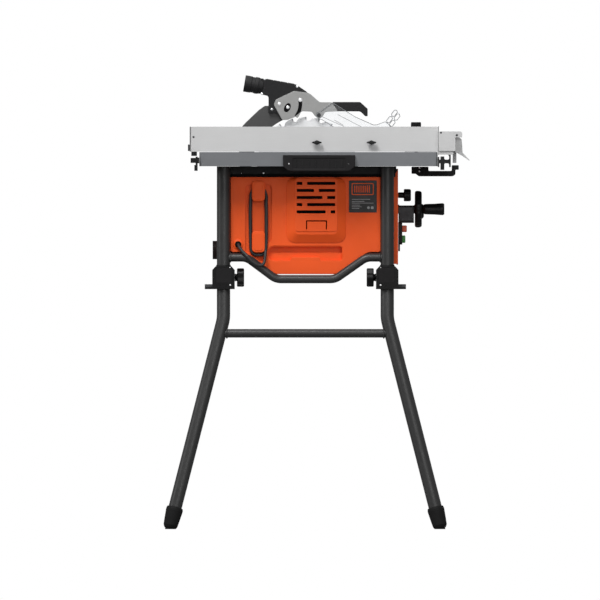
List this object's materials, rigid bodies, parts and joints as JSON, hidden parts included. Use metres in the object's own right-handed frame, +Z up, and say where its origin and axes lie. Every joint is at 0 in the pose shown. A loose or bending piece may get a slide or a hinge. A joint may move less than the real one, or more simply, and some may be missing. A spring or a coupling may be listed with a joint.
{
  "type": "table saw",
  "caption": "Jobsite table saw on a folding tube stand, with a rip fence, mitre gauge, extension wing, blade guard, riving knife and a blade that rises and tilts.",
  "frame": {"origin": "on the floor, at the centre of the overall footprint", "axes": "+X to the operator at the front, +Y to the operator's right, +Z up"},
  "size_m": [0.7346, 0.6622, 1.0896],
  "materials": {
    "powder_coat": "satin dark grey powder coat",
    "foot_rubber": "matt black rubber",
    "black_plastic": "fine-textured black moulding",
    "black_aluminium": "black anodised extrusion",
    "orange_plastic": "satin orange moulding",
    "table_aluminium": "ground and coated grey casting",
    "cast_aluminium": "rough die casting",
    "fence_aluminium": "satin extrusion",
    "grey_plastic": "satin grey",
    "clear_plastic": "clear polycarbonate",
    "bright_steel": "ground steel",
    "dark_steel": "dark blackened steel",
    "red_plastic": "red moulding",
    "green_plastic": "green moulding"
  },
  "bodies": {
    "root": {"left_side_frame": "powder_coat", "right_side_frame": "powder_coat", "power_cord": "foot_rubber", "rear_left_leg_bracket": "black_plastic", "rear_right_leg_bracket": "black_plastic", "front_left_leg_bracket": "black_plastic", "front_right_leg_bracket": "black_plastic", "upper_chassis": "black_plastic", "left_table_handle": "black_plastic", "switch_box": "black_plastic", "front_rail": "black_aluminium", "rear_rail": "black_aluminium", "left_cover": "orange_plastic", "right_cover": "orange_plastic", "front_panel": "orange_plastic", "rear_panel": "orange_plastic", "table_top": "table_aluminium", "throat_plate": "bright_steel", "rear_left_pivot_pin": "dark_steel", "rear_right_pivot_pin": "dark_steel", "front_left_pivot_pin": "dark_steel", "front_right_pivot_pin": "dark_steel"},
    "left_leg": {"left_leg_frame": "powder_coat", "rear_left_foot": "foot_rubber", "front_left_foot": "foot_rubber"},
    "right_leg": {"right_leg_frame": "powder_coat", "rear_right_foot": "foot_rubber", "front_right_foot": "foot_rubber"},
    "tilt_frame": {"tilt_yoke": "dark_steel"},
    "handwheel": {"handwheel": "black_plastic"},
    "crank_handle": {"crank_handle": "black_plastic"},
    "bevel_lock_knob": {"bevel_lock_knob": "black_plastic"},
    "lift_screw": {"lift_screw": "bright_steel"},
    "carriage": {"lift_carriage": "cast_aluminium", "motor_housing": "black_plastic", "riving_knife": "dark_steel", "dust_hood": "black_plastic"},
    "blade": {"blade": "bright_steel", "arbor_shaft": "bright_steel", "arbor_nut": "dark_steel"},
    "guard": {"guard_arm": "grey_plastic", "guard_handle": "black_plastic"},
    "left_clear_guard": {"left_clear_guard": "clear_plastic"},
    "right_clear_guard": {"right_clear_guard": "clear_plastic"},
    "fence": {"fence_body": "fence_aluminium", "fence_head": "fence_aluminium"},
    "fence_lever": {"fence_lever": "grey_plastic"},
    "rear_wing_knob": {"rear_wing_knob": "black_plastic"},
    "front_wing_knob": {"front_wing_knob": "black_plastic"},
    "miter_bar": {"miter_bar": "bright_steel"},
    "miter_head": {"miter_head": "black_plastic"},
    "miter_knob": {"miter_knob": "black_plastic"},
    "extension_wing": {"extension_wing": "table_aluminium"},
    "extension_lock_lever": {"extension_lock_lever": "black_plastic"},
    "stop_button": {"stop_button": "red_plastic"},
    "start_button": {"start_button": "green_plastic"},
    "rear_left_leg_lock_knob": {"rear_left_leg_lock_knob": "black_plastic"},
    "rear_right_leg_lock_knob": {"rear_right_leg_lock_knob": "black_plastic"},
    "front_left_leg_lock_knob": {"front_left_leg_lock_knob": "black_plastic"},
    "front_right_leg_lock_knob": {"front_right_leg_lock_knob": "black_plastic"}
  },
  "joints": [
    {"name": "left_leg_fold", "type": "hinge", "parent": "root", "child": "left_leg", "pos_m": [-0.02529, -0.218, 0.582], "axis": [1, 0, 0], "range_deg": [0, 99]},
    {"name": "right_leg_fold", "type": "hinge", "parent": "root", "child": "right_leg", "pos_m": [-0.02529, 0.218, 0.582], "axis": [-1, 0, 0], "range_deg": [0, 90]},
    {"name": "bevel_tilt", "type": "hinge", "parent": "root", "child": "tilt_frame", "pos_m": [-0.02529, 0, 0.905], "axis": [1, 0, 0], "range_deg": [0, 45]},
    {"name": "handwheel_turn", "type": "hinge", "parent": "tilt_frame", "child": "handwheel", "pos_m": [0.23571, 0, 0.768], "axis": [-1, 0, 0], "range_deg": [-3610, 10]},
    {"name": "lift_screw_turn", "type": "hinge", "parent": "tilt_frame", "child": "lift_screw", "pos_m": [0.11971, 0, 0.768], "axis": [0, 0, 1], "range_deg": [-10, 3610]},
    {"name": "blade_height", "type": "slide", "parent": "tilt_frame", "child": "carriage", "axis": [0, 0, 1], "range_m": [-0.075, 0]},
    {"name": "blade_spin", "type": "hinge", "parent": "carriage", "child": "blade", "pos_m": [-0.02529, 0, 0.863], "axis": [0, -1, 0], "continuous": true},
    {"name": "crank_handle_spin", "type": "hinge", "parent": "handwheel", "child": "crank_handle", "pos_m": [0.27471, -0.03, 0.768], "axis": [1, 0, 0], "continuous": true},
    {"name": "bevel_lock_turn", "type": "hinge", "parent": "tilt_frame", "child": "bevel_lock_knob", "pos_m": [0.21471, -0.05, 0.8016], "axis": [1, 0, 0], "range_deg": [0, 180]},
    {"name": "guard_lift", "type": "hinge", "parent": "carriage", "child": "guard", "pos_m": [-0.08929, 0, 1.021], "axis": [0, -1, 0], "range_deg": [0, 50]},
    {"name": "left_clear_guard_swing", "type": "hinge", "parent": "guard", "child": "left_clear_guard", "pos_m": [0.00571, -0.0196, 0.994], "axis": [0, -1, 0], "range_deg": [-1, 33]},
    {"name": "right_clear_guard_swing", "type": "hinge", "parent": "guard", "child": "right_clear_guard", "pos_m": [0.00571, 0.0196, 0.994], "axis": [0, -1, 0], "range_deg": [-1, 33]},
    {"name": "fence_slide", "type": "slide", "parent": "root", "child": "fence", "axis": [0, -1, 0], "range_m": [-0.16, 0.038]},
    {"name": "fence_lever_open", "type": "hinge", "parent": "fence", "child": "fence_lever", "pos_m": [0.33671, -0.237, 0.943], "axis": [0, -1, 0], "range_deg": [0, 50]},
    {"name": "rear_wing_knob_turn", "type": "hinge", "parent": "fence", "child": "rear_wing_knob", "pos_m": [0.00071, -0.27, 0.928], "axis": [0, 1, 0], "range_deg": [0, 720]},
    {"name": "front_wing_knob_turn", "type": "hinge", "parent": "fence", "child": "front_wing_knob", "pos_m": [0.13171, -0.27, 0.928], "axis": [0, 1, 0], "range_deg": [0, 720]},
    {"name": "miter_slide", "type": "slide", "parent": "root", "child": "miter_bar", "axis": [1, 0, 0], "range_m": [-0.25, 0]},
    {"name": "miter_swivel", "type": "hinge", "parent": "miter_bar", "child": "miter_head", "pos_m": [0.23871, 0.11, 0.906], "axis": [0, 0, 1], "range_deg": [-60, 60]},
    {"name": "miter_knob_turn", "type": "hinge", "parent": "miter_head", "child": "miter_knob", "pos_m": [0.23871, 0.11, 0.96], "axis": [0, 0, 1], "range_deg": [0, 360]},
    {"name": "extension_slide", "type": "slide", "parent": "root", "child": "extension_wing", "axis": [0, 1, 0], "range_m": [0, 0.15]},
    {"name": "extension_lever_open", "type": "hinge", "parent": "root", "child": "extension_lock_lever", "pos_m": [0.25071, 0.185, 0.864], "axis": [0, 1, 0], "range_deg": [0, 35]},
    {"name": "stop_press", "type": "slide", "parent": "root", "child": "stop_button", "axis": [-1, 0, 0], "range_m": [0, 0.003]},
    {"name": "start_press", "type": "slide", "parent": "root", "child": "start_button", "axis": [-1, 0, 0], "range_m": [0, 0.003]},
    {"name": "rear_left_leg_lock_turn", "type": "hinge", "parent": "root", "child": "rear_left_leg_lock_knob", "pos_m": [-0.18529, -0.218, 0.604], "axis": [1, 0, 0], "range_deg": [0, 720]},
    {"name": "rear_right_leg_lock_turn", "type": "hinge", "parent": "root", "child": "rear_right_leg_lock_knob", "pos_m": [-0.18529, 0.218, 0.604], "axis": [1, 0, 0], "range_deg": [0, 720]},
    {"name": "front_left_leg_lock_turn", "type": "hinge", "parent": "root", "child": "front_left_leg_lock_knob", "pos_m": [0.12971, -0.218, 0.604], "axis": [1, 0, 0], "range_deg": [0, 720]},
    {"name": "front_right_leg_lock_turn", "type": "hinge", "parent": "root", "child": "front_right_leg_lock_knob", "pos_m": [0.12971, 0.218, 0.604], "axis": [1, 0, 0], "range_deg": [0, 720]}
  ],
  "couplings": [
    {"joint": "handwheel_turn", "follows": "blade_height", "rad_per_m": 837.76},
    {"joint": "lift_screw_turn", "follows": "blade_height", "rad_per_m": -837.76},
    {"joint": "left_clear_guard_swing", "follows": "blade_height", "rad_per_m": -7.4467},
    {"joint": "right_clear_guard_swing", "follows": "blade_height", "rad_per_m": -7.4467}
  ]
}
